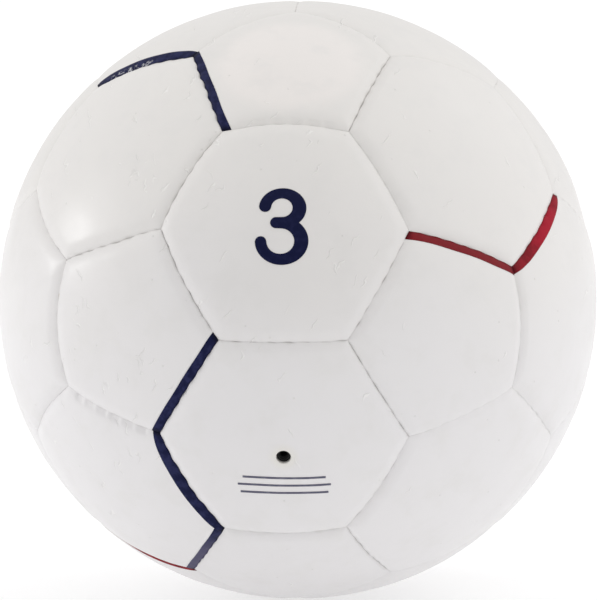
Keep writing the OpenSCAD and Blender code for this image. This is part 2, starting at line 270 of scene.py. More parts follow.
# Corners where three panels meet off their ideal place, and by how much in mm
CORNERS = [
    (TOP_PENTAGON, UPPER_LEFT, NUMBER, (-0.74, -0.52, -0.82)),
    (TOP_PENTAGON, UPPER_RIGHT, NUMBER, (0.02, -0.6, -0.68)),
    (RIGHT_PENTAGON, UPPER_RIGHT, NUMBER, (-0.18, 0.27, 0.91)),
    (RIGHT_PENTAGON, VALVE, NUMBER, (0.73, 0.16, -0.33)),
    (LEFT_PENTAGON, VALVE, NUMBER, (-0.43, 0.09, -0.56)),
    (LEFT_PENTAGON, UPPER_LEFT, NUMBER, (0.16, 0.38, 1.17)),
    (RIGHT_PENTAGON, LOWER_RIGHT, VALVE, (-0.11, 0.2, -0.65)),
    (FOOT_PENTAGON, LOWER_RIGHT, VALVE, (-0.44, -0.04, -0.09)),
    (FOOT_PENTAGON, LOWER_LEFT, VALVE, (-0.15, 0.8, -0.83)),
    (LEFT_PENTAGON, LOWER_LEFT, VALVE, (-0.14, 0.15, -0.23)),
    (TOP_PENTAGON, UPPER_LEFT, CROWN_LEFT, (0.12, -0.22, -0.06)),
    (TOP_PENTAGON, UPPER_RIGHT, CROWN_RIGHT, (-0.32, 0.51, 0.36)),
    (LEFT_PENTAGON, UPPER_LEFT, FAR_LEFT, (0.17, 0.08, 0.86)),
    (LEFT_PENTAGON, LOWER_LEFT, FAR_LEFT, (0.61, -0.57, -0.35)),
    (SIDE_RIGHT, UPPER_RIGHT, FAR_RIGHT, (0.35, 0.58, -0.28)),
    (SIDE_RIGHT, FAR_RIGHT, BACK_RIGHT, (0.0, 0.0, 1.5)),
    (RIGHT_PENTAGON, UPPER_RIGHT, FAR_RIGHT, (0.11, 0.02, -0.32)),
    (RIGHT_PENTAGON, LOWER_RIGHT, FAR_RIGHT, (0.16, 0.11, 0.22)),
    (FOOT_PENTAGON, LOWER_LEFT, FOOT_LEFT, (0.3, -1.21, 0.47)),
    (SIDE_RIGHT, UPPER_RIGHT, CROWN_RIGHT, (0.61, 3.42, 0.43)),
    (TOP_PENTAGON, CROWN_LEFT, CROWN_RIGHT, (-0.09, 1.57, 0.30)),
    (SIDE_LEFT, UPPER_LEFT, CROWN_LEFT, (-0.37, 1.55, 0.11)),
]

# A dent in the skin on the right: its direction, depth and reach
DENT = (0.955, 0.02, 0.3)
DENT_DEPTH = 0.6
DENT_REACH = 11.0

# Seams whose second panel shows a row of dimples, and how deep they are as a share of DIMPLE_DEPTH
DIMPLED_SEAMS = [
    (LEFT_PENTAGON, LOWER_LEFT, 1.0),
    (RIGHT_PENTAGON, LOWER_RIGHT, 0.15),
    (NUMBER, TOP_PENTAGON, 0.45),
]


def panel_middles():
    """The 12 corners of an icosahedron and the middles of its 20 faces."""
    signs = [(s, t) for s in (-1, 1) for t in (-1, 1)]
    pentagons = [np.roll((s, t * GOLDEN, 0), k) for k in range(3) for s, t in signs]
    hexagons = [(s, t, z) for s, t in signs for z in (-1, 1)]
    hexagons += [np.roll((0, s * SQUARE, t), k) for k in range(3) for s, t in signs]
    return unit(np.array(pentagons + hexagons, float))


MIDDLES = panel_middles()
HEXAGON_TILT = math.acos(unit([1, 1, 1]) @ unit([0, SQUARE, 1])) / 2
PENTAGON_TILT = math.acos(unit([1, GOLDEN, 0]) @ unit([1, 1, 1])) - HEXAGON_TILT
SEAM_HALF = math.atan(math.sin(HEXAGON_TILT) * math.tan(math.pi / 6))
TOUCHING = math.cos(math.radians(50))


def middle_index(v):
    """Which panel's middle lies nearest to direction v."""
    return int(np.argmax(MIDDLES @ unit(v)))


def seam_key(a, b):
    """The two panels beside a seam as indices, the lower one first."""
    i, j = middle_index(a), middle_index(b)
    return (i, j) if i < j else (j, i)


def seam_table():
    """Bow of every seam, from the panel with the lower index to the other, then its openness, sway, width and
    depth: drawn at random for the seams that SEAMS leaves out."""
    draw = np.random.default_rng(3)
    table = {}
    for i in range(len(MIDDLES)):
        for j in range(i + 1, len(MIDDLES)):
            table[i, j] = draw.uniform(LEAST_SEAM, GREATEST_SEAM)
    for a, b, bow, *rest in SEAMS:
        key = seam_key(a, b)
        table[key] = (bow if key[0] == middle_index(a) else -bow, *rest)
    return table


def corner_place(pentagon, b, c):
    """Where a pentagon meets two hexagons: the direction on the planes between it and each of them."""
    a, b, c = MIDDLES[[middle_index(v) for v in (pentagon, b, c)]]
    planes = [math.cos(PENTAGON_TILT) * unit(v - (v @ a) * a) - math.sin(PENTAGON_TILT) * a for v in (b, c)]
    place = unit(np.cross(*planes))
    return place * np.sign(place @ a)


SEAM_TABLE = seam_table()
CORNER_PLACES = np.array([corner_place(*row[:3]) for row in CORNERS])
CORNER_MOVES = np.array([row[3] for row in CORNERS])


def warp(d):
    """How far the skin moves in directions d: the corners' moves, each times exp(-(distance / reach)^2)."""
    far = 2 * BALL_R * np.sqrt(np.maximum(1 - d @ CORNER_PLACES.T, 0) / 2)
    return np.exp(-(far / WARP_REACH) ** 2) @ CORNER_MOVES


class Panel:
    """One panel: its middle, and each seam's axes out of the panel (x), along the seam (y) and up (z)."""

    def __init__(self, index):
        self.index = index
        self.middle = MIDDLES[index]
        near = [j for j, b in enumerate(MIDDLES) if j != index and self.middle @ b > TOUCHING]
        self.sides = len(near)
        self.tilt = HEXAGON_TILT if self.sides == 6 else PENTAGON_TILT
        flat = [unit(MIDDLES[j] - (MIDDLES[j] @ self.middle) * self.middle) for j in near]
        self.e1 = flat[0]
        self.e2 = np.cross(self.middle, self.e1)
        angle = [math.atan2(v @ self.e2, v @ self.e1) % math.tau for v in flat]
        order = sorted(range(self.sides), key=lambda k: angle[k])
        self.across = [near[k] for k in order]
        w = np.array([flat[k] for k in order])
        self.x = math.cos(self.tilt) * w - math.sin(self.tilt) * self.middle
        self.z = math.cos(self.tilt) * self.middle + math.sin(self.tilt) * w
        self.y = np.cross(self.z, self.x)
        keys = [(min(index, j), max(index, j)) for j in self.across]
        self.sign = np.array([1.0 if index < j else -1.0 for j in self.across])
        rows = np.array([SEAM_TABLE[key] for key in keys])
        self.bow, self.openness, self.sway, self.width, self.depth = rows.T
        self.bow *= self.sign
        after = np.roll(self.across, -1)
        third = np.array([SEAM_TABLE[min(i, j), max(i, j)][4] for i, j in zip(self.across, after)])
        corner = (self.depth + np.roll(self.depth, -1) + third) / 3
        self.ends = np.array([np.roll(corner, 1), corner])
        self.phase = np.array([2.4 * key[0] + 1.7 * key[1] for key in keys])
        self.dimples = np.zeros(self.sides)
        for a, b, strength in DIMPLED_SEAMS:
            if middle_index(b) == index:
                self.dimples[self.across.index(middle_index(a))] = strength

    def side(self, towards):
        """Which of the panel's seams lies towards another panel's middle."""
        return self.across.index(middle_index(towards))

    def flat_direction(self, p):
        """Directions from points p of the plane that touches the unit ball at the panel's middle."""
        return unit(self.middle + p[..., :1] * self.e1 + p[..., 1:] * self.e2)

    def outline(self, columns):
        """Points round the panel on that plane: tan(tilt) (1, u tan(180/sides)) for u from -1 to 1, turned to
        each side."""
        u = np.tile(np.linspace(-1, 1, columns, endpoint=False), self.sides)
        k = np.repeat(np.arange(self.sides), columns)
        turn = math.tau * k / self.sides
        v = u * math.tan(math.pi / self.sides)
        q = np.stack([np.cos(turn) - v * np.sin(turn), np.sin(turn) + v * np.cos(turn)], axis=-1)
        return math.tan(self.tilt) * q


def waves(d, count, lowest, highest, seed):
    """Smooth noise between about -1 and 1: a sum of plane waves that are lowest to highest mm long."""
    draw = np.random.default_rng(seed)
    total = np.zeros(d.shape[:-1])
    for _ in range(count):
        k = unit(draw.normal(size=3)) * math.tau * BALL_R / draw.uniform(lowest, highest)
        total += np.sin(d @ k + draw.uniform(0, math.tau))
    return total / math.sqrt(count)


def skin(panel, d, lift=0.0, sink=0.0):
    """Points of a panel's outer skin in directions d, and how far from the nearest seam they count for its
    dirt and painted shade: their distance, more where the seam is closed and less in a dimple.

    dist = R asin(-d.x) to each seam and t = atan2(d.y, d.z) along it, -1 to 1 from corner to corner. The
    skin lies under the ball by a wide shoulder (1 - dist / W)^1.8, a roll and a swell (1 - dist / W)^2, as
    deep as the seam, or at a corner as deep as the mean of its three seams, and by a quarter ellipse at the
    lip. Seams bow and sway sideways, less so with distance, and close where they are less open. sink takes a
    point down the wall under the lip."""
    dist = BALL_R * np.arcsin(np.clip(-d @ panel.x.T, 1e-5, 1))
    t = np.clip(np.arctan2(d @ panel.y.T, d @ panel.z.T) / SEAM_HALF, -1, 1)
    y = t * panel.sign * SEAM_HALF * BALL_R
    inside = 1 - t ** 2
    beat = math.tau * y / STITCH_PITCH
    slow_beat = SLOW_BEAT_SHARE * beat
    stitched = np.clip((STITCH_SPAN - np.abs(y)) / STITCH_FADE, 0, 1)
    pull = (1 - np.cos(beat)) / 2 * stitched
    ridge = np.exp(-(((y + STITCH_PITCH / 2) % STITCH_PITCH - STITCH_PITCH / 2) / RIDGE_W) ** 2)
    swing = np.sin(beat + panel.phase) + 0.7 * np.sin(slow_beat + 2 * panel.phase)
    sway = panel.sway * panel.sign * swing
    opened = panel.openness + 0.35 * np.cos(beat + panel.phase) + 0.3 * np.sin(0.3 * beat + panel.phase)
    opened = np.clip(opened, 0, 1)
    shift = panel.bow * inside * np.exp(-(dist / BOW_REACH) ** 2)
    shift += sway * np.sqrt(inside) * np.exp(-(dist / SWAY_REACH) ** 2)
    shift += (SLIT - CLOSED_SLIT) * (1 - opened) * inside ** 0.25 * np.exp(-(dist / CLOSING_REACH) ** 2)
    closeness = dist ** -float(CORNER_SHARPNESS)
    share = closeness / closeness.sum(-1, keepdims=True)
    near = closeness.sum(-1) ** (-1 / CORNER_SHARPNESS)
    lip = (share * (LIP_DEPTH * opened + STITCH_PULL * (pull - 0.5))).sum(-1)
    reach = np.clip(1 - near / LIP_W, 0, 1)
    depth = lip * (1 - np.sqrt(1 - reach ** 2))
    ending = np.clip(2 * np.abs(t) - 1, 0, 1) ** 2
    depths = panel.depth + (np.where(t > 0, panel.ends[1], panel.ends[0]) - panel.depth) * ending
    width, deep = (share * panel.width).sum(-1), (share * depths).sum(-1)
    depth += SHOULDER_DEPTH * deep * np.clip(1 - near / (SHOULDER_W * width), 0, 1) ** 1.8
    depth += ROLL_DEPTH * deep * np.clip(1 - near / ROLL_W, 0, 1) ** 2
    depth += SWELL_DEPTH * np.minimum(deep, 1) * np.clip(1 - near / SWELL_W, 0, 1) ** 2
    depth += (share * panel.sway * (pull - 0.5)).sum(-1) * np.clip(1 - near / PUFF_W, 0, 1) ** 2
    edge = np.clip((DIMPLE_W + DIMPLE_EDGE - dist) / (2 * DIMPLE_EDGE), 0, 1)
    uneven = 0.8 + 0.25 * np.sin(slow_beat + panel.phase)
    hollow = (edge ** 2 * (3 - 2 * edge) * (1 - ridge) * stitched * panel.dimples * uneven).sum(-1)
    depth += DIMPLE_DEPTH * hollow
    depth += WAVE_DEPTH * (1.8 + waves(d, *WAVES)) + RIPPLE_DEPTH * waves(d, *RIPPLES)
    depth += DENT_DEPTH * np.exp(-2 * (1 - d @ unit(DENT)) * (BALL_R / DENT_REACH) ** 2)
    r = BALL_R - np.maximum(depth, 0) + lift - sink
    fade = np.clip(1 - np.asarray(sink) / BOW_SINK, 0, 1)[..., None]
    p = d * BALL_R + (shift * fade) @ panel.x + warp(d) * fade
    # Closed seams count further off and get less painted shade and dirt; a dimple counts nearer and gets
    # painted shade
    less_shade_and_dirt = 0.6 * (1 - (share * opened).sum(-1))
    return unit(p) * r[..., None], near + less_shade_and_dirt - 0.35 * np.minimum(hollow, 1) * np.minimum(near, 1)


def rows_for(panel, off):
    """Share of the way from the middle to the seam at a place that lies off mm from the seam."""
    return math.tan(panel.tilt - off / BALL_R) / math.tan(panel.tilt)


# Distances from the seam of the rings outside and inside, radii of the rings round the valve hole outside
# and inside, and points along each seam
OUTER_OFFS = [30, 27, 24, 21, 18, 15.5, 13, 11, 9.2, 7.7, 6.4, 5.3, 4.4, 3.7, 3.1, 2.6, 2.15, 1.75, 1.4, 1.1]
OUTER_OFFS += [0.85, 0.63, 0.46, 0.32, 0.21, 0.13, SLIT]
INNER_OFFS = [INNER_OFF + WALL_FILLET, 3, 6, 10, 15, 20, 25, 29]
OUTER_HOLE_RINGS = (2.8, 3.1, 3.6, 4.3)
INNER_HOLE_RINGS = (3.5, HOLE_R)
COLUMNS = 84


def turned_edge(panel, outline, lip):
    """Rings down the wall under the lip, round its foot and up the inside of the wall."""
    direction = panel.flat_direction(rows_for(panel, SLIT) * outline)
    height = np.linalg.norm(lip, axis=-1) - FOOT_R
    wall = [skin(panel, direction, sink=share * height)[0] for share in (0.12, 0.3, 0.6, 1.0)]
    direction = panel.flat_direction(rows_for(panel, INNER_OFF) * outline)
    return wall + [direction * r for r in (FOOT_R, (FOOT_R + INNER_R) / 2, INNER_R - WALL_FILLET)]


def panel_rings(panel):
    """Rings down the outside of a panel, round its turned-in edge and back up its inside, and each point's
    distance from the seam."""
    outline = panel.outline(COLUMNS)
    side = panel.tilt * BALL_R
    rings, near = [], []
    for off in OUTER_OFFS:
        if off < 0.95 * side:
            p, s = skin(panel, panel.flat_direction(rows_for(panel, off) * outline))
            rings.append(p)
            near.append(s)
    rings += turned_edge(panel, outline, rings[-1])
    inner = [off for off in INNER_OFFS if off < 0.95 * side]
    rings += [panel.flat_direction(rows_for(panel, off) * outline) * INNER_R for off in inner]
    near += [np.zeros(len(outline))] * (len(rings) - len(near))
    return rings, near


def valve_rings(panel):
    """The same for the valve's panel: rings start at the hole's rounded rim and end at the hole's wall."""
    outline = panel.outline(COLUMNS)
    centre = valve_place(panel)
    away = unit(outline - centre)
    side = panel.tilt * BALL_R - COLLAR_R
    collar = centre + away * COLLAR_R / BALL_R
    rings, near = [], []

    def add(p, drop=0.0):
        """Adds the ring of points p on the panel's plane, drop mm under the skin."""
        point, s = skin(panel, panel.flat_direction(p), lift=-drop)
        rings.append(point)
        near.append(s)

    for angle in np.radians(np.arange(0, 91, 18)):
        add(centre + away * (HOLE_R + RIM_R * (1 - math.cos(angle))) / BALL_R, RIM_R * (1 - math.sin(angle)))
    for r in OUTER_HOLE_RINGS:
        add(centre + away * r / BALL_R)
    for off in OUTER_OFFS[:-1]:
        if off < side:
            add(collar + (1 - off / side) * (outline - collar))
    add(rows_for(panel, SLIT) * outline)
    rings += turned_edge(panel, outline, rings[-1])
    inner = [off for off in INNER_OFFS if off < side]
    rings += [panel.flat_direction(collar + (1 - off / side) * (outline - collar)) * INNER_R for off in inner]
    rings += [panel.flat_direction(centre + away * r / BALL_R) * INNER_R for r in INNER_HOLE_RINGS]
    near += [np.zeros(len(outline))] * (len(rings) - len(near))
    return rings, near


def ring_mesh(name, rings, near, top=None, foot=None):
    """A closed surface of rings of points, with their distances from the seam. Poles close its ends, or
    without poles the last ring joins the first."""
    rings = np.array(rings)
    rows, columns = rings.shape[:2]
    points = rings.reshape(-1, 3)
    index = np.arange(rows * columns).reshape(rows, columns)
    steps = rows if top is None else rows - 1
    upper, lower = index[np.arange(steps)], index[(np.arange(steps) + 1) % rows]
    quads = np.stack([upper, lower, np.roll(lower, -1, 1), np.roll(upper, -1, 1)], axis=-1).reshape(-1, 4)
    faces = quads.tolist()
    if top is not None:
        points = np.vstack([points, top, foot])
        first, last = index[0], index[-1]
        pole = len(points) - 2
        faces += np.stack([np.full(columns, pole), first, np.roll(first, -1)], axis=-1).tolist()
        faces += np.stack([np.full(columns, pole + 1), np.roll(last, -1), last], axis=-1).tolist()
    mesh = bpy.data.meshes.new(name)
    mesh.from_pydata((points * MM).tolist(), [], faces)
    mesh.polygons.foreach_set("use_smooth", np.ones(len(faces), bool))
    values = np.array(near, np.float32).reshape(-1)
    values = np.concatenate([values, np.full(len(points) - len(values), values.max())])
    layer = mesh.attributes.new("seam_mm", "FLOAT", "POINT")
    layer.data.foreach_set("value", values.astype(np.float32))
    mesh.update()
    return mesh


def add_piece(name, mesh, material, slot, *nodes):
    """Puts a mesh into the scene as a piece that stands for CAD nodes."""
    piece = bpy.data.objects.new(name, mesh)
    bpy.context.scene.collection.objects.link(piece)
    piece.data.materials.append(material)
    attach(piece, "root")
    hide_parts(*nodes)


def panel_mesh(name, panel):
    """A cover panel as a closed mesh. The valve's panel has a hole through it."""
    if name == "valve_panel":
        rings, near = valve_rings(panel)
        return ring_mesh(name, rings, near)
    rings, near = panel_rings(panel)
    top = skin(panel, panel.middle[None])[0]
    return ring_mesh(name, rings, near, top, panel.middle[None] * INNER_R)


def valve_place(panel):
    """The valve's place on the plane of its panel, below the middle."""
    down = unit(panel.middle * panel.middle[2] - np.array([0, 0, 1]))
    return math.tan(VALVE_DROP / BALL_R) * np.array([down @ panel.e1, down @ panel.e2])


def film_mesh(name, panel, d, attributes=None):
    """A thin closed film of ink on a panel's skin, over a grid of directions d."""
    rows, columns = d.shape[:2]
    top = skin(panel, d, lift=INK_LIFT)[0].reshape(-1, 3)
    foot = skin(panel, d, lift=INK_FOOT)[0].reshape(-1, 3)
    index = np.arange(rows * columns).reshape(rows, columns)
    a, b, c, e = index[:-1, :-1], index[1:, :-1], index[1:, 1:], index[:-1, 1:]
    upper = np.stack([a, b, c, e], axis=-1).reshape(-1, 4)
    rim = np.concatenate([index[:, 0], index[-1, 1:], index[-2::-1, -1], index[0, -2:0:-1]])
    after = np.roll(rim, -1)
    count = rows * columns
    walls = np.stack([rim, rim + count, after + count, after], axis=-1)
    faces = np.vstack([upper, upper[:, ::-1] + count, walls])
    mesh = bpy.data.meshes.new(name)
    mesh.from_pydata((np.vstack([top, foot]) * MM).tolist(), [], faces.tolist())
    for key, values in (attributes or {}).items():
        layer = mesh.attributes.new(key, "FLOAT", "POINT")
        layer.data.foreach_set("value", np.tile(values.reshape(-1), 2).astype(np.float32))
    mesh.polygons.foreach_set("use_smooth", np.ones(len(faces), bool))
    mesh.update()
    return mesh


def joined(name, meshes):
    """One mesh of several, with doubled points merged and faces turned outwards."""
    out = bmesh.new()
    for mesh in meshes:
        out.from_mesh(mesh)
        bpy.data.meshes.remove(mesh)
    bmesh.ops.remove_doubles(out, verts=out.verts, dist=1e-7)
    bmesh.ops.dissolve_degenerate(out, edges=out.edges, dist=1e-8)
    bmesh.ops.recalc_face_normals(out, faces=out.faces)
    mesh = bpy.data.meshes.new(name)
    out.to_mesh(mesh)
    out.free()
    mesh.polygons.foreach_set("use_smooth", np.ones(len(mesh.polygons), bool))
    return mesh


def seam_limit(panel, k, other, w, end):
    """Angle q along seam k at which a line w mm inside it meets the plane of the next seam.

    The line's points are cos(w/R) (cos q z + sin q y) - sin(w/R) x, so there a cos q + b sin q = c."""
    n = panel.x[other]
    a = np.cos(w / BALL_R) * (panel.z[k] @ n)
    b = np.cos(w / BALL_R) * (panel.y[k] @ n)
    c = np.sin(w / BALL_R) * (panel.x[k] @ n) - math.sin(SLIT / BALL_R)
    half = np.arccos(c / np.hypot(a, b))
    middle = np.arctan2(b, a)
    return middle - half if end > 0 else middle + half


def band_mesh(name, carrier, towards, half_turn):
    """A band of ink along one seam: from the lip to BAND_W inside it. Between two hexagons it is wider in its
    middle, by bow (1 - t^2), and narrower at its ends."""
    turn = np.array([half_turn, half_turn, 1])
    panel = Panel(middle_index(np.array(carrier) * turn))
    k = panel.side(np.array(towards) * turn)
    hexagons = panel.sides == 6 and Panel(panel.across[k]).sides == 6
    bow = BAND_BOW if hexagons else 0.0
    t = np.linspace(-1, 1, 130)[:, None]
    share = (np.linspace(0, 1, 15) ** 1.7)[None, :]
    wide = BAND_W * (1 - BAND_TAPER_SHARE * hexagons * t ** 4) + bow * (1 - t ** 2)
    wide = wide + BAND_WAVER * np.sin(9 * t + 3 * bow)
    if (carrier, towards) == NARROW_BAND:
        wide = NARROW_SHARE * wide
    w = SLIT + share * (wide - SLIT)
    low = seam_limit(panel, k, (k - 1) % panel.sides, w, -1)
    high = seam_limit(panel, k, (k + 1) % panel.sides, w, 1)
    q = low + (high - low) * (t + 1) / 2
    on_seam = np.cos(q)[..., None] * panel.z[k] + np.sin(q)[..., None] * panel.y[k]
    d = np.cos(w / BALL_R)[..., None] * on_seam - np.sin(w / BALL_R)[..., None] * panel.x[k]
    end = np.minimum(q - low, high - q) * BALL_R
    return film_mesh(name, panel, d, {"end_mm": end, "seam_mm": w + 0 * q})


def bands_mesh(name, bands):
    """All bands of one ink, in front and again behind after a half turn about the upright axis."""
    return joined(name, [band_mesh(name, a, b, s) for s in (1, -1) for a, b in bands])


def arc(centre, axes, start, end, count=60):
    """Points of an ellipse's arc: centre + (a cos, b sin) of angles from start to end in degrees."""
    angle = np.radians(np.linspace(start, end, count))
    return np.array(centre) + np.stack([axes[0] * np.cos(angle), axes[1] * np.sin(angle)], axis=-1)


def spread(points, count):
    """The same line with count points at equal distances."""
    length = np.concatenate([[0], np.cumsum(np.linalg.norm(np.diff(points, axis=0), axis=-1))])
    at = np.linspace(0, length[-1], count)
    return np.stack([np.interp(at, length, points[:, j]) for j in (0, 1)], axis=-1)


def numeral_grid():
    """Rows of points across the numeral's stroke, from its upper tip round both bowls to its lower tip."""
    top, top_axes, hollow, hollow_axes = (0.12, 5.53), (7.0, 6.26), (-0.1, 5.63), (3.15, 2.92)
    foot, foot_axes, belly, belly_axes = (0.0, -4.52), (7.9, 7.28), (-0.38, -4.62), (4.1, 3.88)
    stub, stub_r = (-1.75, 1.0), 1.71
    tip_at, tail_at, waist_from, waist_to = 173, -177, -45.2, 50.3
    waist = np.vstack([arc(top, top_axes, -10, waist_from), arc(foot, foot_axes, waist_to, 15)])
    notch = [arc(hollow, hollow_axes, -60, -90), arc(stub, (stub_r, stub_r), 90, 270)]
    notch.append(arc(belly, belly_axes, 90, 60))
    outer = [
        spread(arc(top, top_axes, tip_at, -10), 90),
        spread(waist, 70),
        spread(arc(foot, foot_axes, 15, tail_at), 100),
    ]
    inner = [
        spread(arc(hollow, hollow_axes, tip_at, -60), 90),
        spread(np.vstack(notch), 70),
        spread(arc(belly, belly_axes, 60, tail_at), 100),
    ]
    outer = np.vstack([outer[0], outer[1][1:], outer[2][1:]])
    inner = np.vstack([inner[0], inner[1][1:], inner[2][1:]])
    across = np.linspace(-1, 1, 17)[None, :, None]
    grid = (outer + inner)[:, None] / 2 + (outer - inner)[:, None] / 2 * across
    tip, tail = [], []
    for angle in np.radians(np.linspace(90, 15, 6)):
        for end, caps, way in ((0, tip, -1), (-1, tail, 1)):
            half = (outer[end] - inner[end]) / 2
            out = np.array([-half[1], half[0]])
            out *= way * np.sign(out[1])
            row = (outer[end] + inner[end]) / 2 + half * across[0] * math.cos(angle) + out * math.sin(angle)
            caps.append(row)
    return np.concatenate([np.array(tip), grid, np.array(tail[::-1])])


def print_directions(grid, axis):
    """Directions of the flat points of a print that is pressed on along an axis, with x to the right."""
    axis = unit(axis)
    up = unit(np.array([0, 0, 1]) - axis[2] * axis)
    depth = np.sqrt(BALL_R ** 2 - (grid ** 2).sum(-1, keepdims=True))
    return unit(grid[..., :1] * np.cross(up, axis) + grid[..., 1:] * up + depth * axis)


def numeral_mesh(name):
    """The numeral, pressed on along the axis of its panel."""
    panel = Panel(middle_index(NUMBER))
    grid = numeral_grid() * NUMERAL_STRETCH - NUMERAL_LEFT
    return joined(name, [film_mesh(name, panel, print_directions(grid, panel.middle))])


def valve_lines_mesh(name):
    """Three plain lines below the valve."""
    panel = Panel(middle_index(VALVE))
    centre = valve_place(panel)
    axis = panel.flat_direction(centre[None])[0]
    lines = []
    for k, length in enumerate(LINES):
        x = np.linspace(-length / 2, length / 2, 60)[:, None]
        y = np.linspace(-LINE_T / 2, LINE_T / 2, 5)[None, :] - LINE_DROP - k * LINE_PITCH
        grid = np.stack([x + 0 * y, y + 0 * x], axis=-1)
        lines.append(film_mesh(name, panel, print_directions(grid, axis)))
    return joined(name, lines)


def node(tree, kind, inputs=None, **settings):
    """A new node with its settings, and with values or other nodes' sockets in its inputs."""
    made = tree.nodes.new(kind)
    for key, value in settings.items():
        setattr(made, key, value)
    for key, value in (inputs or {}).items():
        if isinstance(value, bpy.types.NodeSocket):
            tree.links.new(value, made.inputs[key])
        else:
            made.inputs[key].default_value = value
    return made


def noise(tree, vector, scale, detail=2.0, roughness=0.5):
    """Noise between 0 and 1, with scale features to a millimetre."""
    inputs = {"Vector": vector, "Scale": scale, "Detail": detail, "Roughness": roughness}
    return node(tree, "ShaderNodeTexNoise", inputs).outputs["Fac"]


def ramp(tree, value, low, high, start=0.0, end=1.0):
    """start where value is low, end where it is high, and a smooth step between."""
    inputs = {"Value": value, "From Min": low, "From Max": high, "To Min": start, "To Max": end}
    return node(tree, "ShaderNodeMapRange", inputs, interpolation_type="SMOOTHSTEP").outputs["Result"]


def calc(tree, operation, *values):
    """Arithmetic on numbers and sockets."""
    made = node(tree, "ShaderNodeMath", operation=operation)
    for socket, value in zip(made.inputs, values):
        if isinstance(value, bpy.types.NodeSocket):
            tree.links.new(value, socket)
        else:
            socket.default_value = value
    return made.outputs[0]


def blend_colours(tree, share, first, second):
    """The first colour where share is 0, the second where it is 1."""
    made = node(tree, "ShaderNodeMix", data_type="RGBA")
    for index, value in ((0, share), (6, first), (7, second)):
        if isinstance(value, bpy.types.NodeSocket):
            tree.links.new(value, made.inputs[index])
        else:
            made.inputs[index].default_value = (*value, 1) if isinstance(value, tuple) else value
    return made.outputs[2]


def scaled(tree, vector, factor):
    """A vector times a factor."""
    return node(tree, "ShaderNodeVectorMath", {0: vector, "Scale": factor}, operation="SCALE").outputs[0]


def away_from(tree, mm, point):
    """Distance in mm from a point."""
    return node(tree, "ShaderNodeVectorMath", {0: mm, 1: point}, operation="DISTANCE").outputs["Value"]


def cell_draw(tree, cells):
    """A random number between 0 and 1 for each cell of a Voronoi pattern."""
    return node(tree, "ShaderNodeSeparateColor", {"Color": cells.outputs["Color"]}).outputs[0]


def finish(name, roughness, specular=0.5):
    """A new material: its tree, its shader and its object coordinates in millimetres."""
    material = bpy.data.materials.new(name)
    material.use_nodes = True
    tree = material.node_tree
    shader = tree.nodes["Principled BSDF"]
    shader.inputs["Roughness"].default_value = roughness
    shader.inputs["Specular IOR Level"].default_value = specular
    mm = scaled(tree, node(tree, "ShaderNodeTexCoord").outputs["Object"], 1 / MM)
    return material, tree, shader, mm


def raise_surface(tree, shader, height):
    """Bump whose height is in millimetres."""
    bump = node(tree, "ShaderNodeBump", {"Height": height, "Distance": MM, "Strength": 1.0})
    tree.links.new(bump.outputs["Normal"], shader.inputs["Normal"])


def attribute(tree, name):
    """A value that the mesh's points carry."""
    return node(tree, "ShaderNodeAttribute", attribute_name=name).outputs["Fac"]


def axis_of(tree, mm, axis):
    """One coordinate of a vector: 0 for x, 1 for y, 2 for z."""
    return node(tree, "ShaderNodeSeparateXYZ", {"Vector": mm}).outputs[axis]


def strokes(tree, mm, lean, start, share):
    """Short creases that lean from the vertical, a raised side beside a sunk one, which white_cover also
    paints as
    a highlight beside a shade: some cells of a flat Voronoi pattern that is drawn out along them and bent by
    noise."""
    bend = node(tree, "ShaderNodeTexNoise", {"Vector": mm, "Scale": 0.25, "Detail": 2.0}).outputs["Color"]
    bend = scaled(tree, bend, 5.0)
    bent = node(tree, "ShaderNodeVectorMath", {0: mm, 1: bend}, operation="ADD").outputs[0]
    made = node(tree, "ShaderNodeMapping", {"Vector": bent}, vector_type="TEXTURE")
    made.inputs["Location"].default_value = (start, 0.0, start)
    made.inputs["Rotation"].default_value = (0.0, lean, 0.0)
    made.inputs["Scale"].default_value = (2.2, 1.0, 11.0)
    turned = made.outputs[0]
    flat = {"X": axis_of(tree, turned, 0), "Y": axis_of(tree, turned, 2)}
    flat = node(tree, "ShaderNodeCombineXYZ", flat).outputs[0]
    cells = node(tree, "ShaderNodeTexVoronoi", {"Vector": flat, "Scale": 1.0}, voronoi_dimensions="2D")
    line = ramp(tree, cells.outputs["Distance"], 0.1, 0.22, 1.0, 0.0)
    chosen = ramp(tree, calc(tree, "ADD", cell_draw(tree, cells), share), 0.98, 1.0)
    offset = {0: flat, 1: cells.outputs["Position"]}
    offset = node(tree, "ShaderNodeVectorMath", offset, operation="SUBTRACT").outputs[0]
    way = ramp(tree, axis_of(tree, offset, 0), -0.08, 0.08, -0.7, 1.0)
    return calc(tree, "MULTIPLY", calc(tree, "MULTIPLY", line, chosen), way)


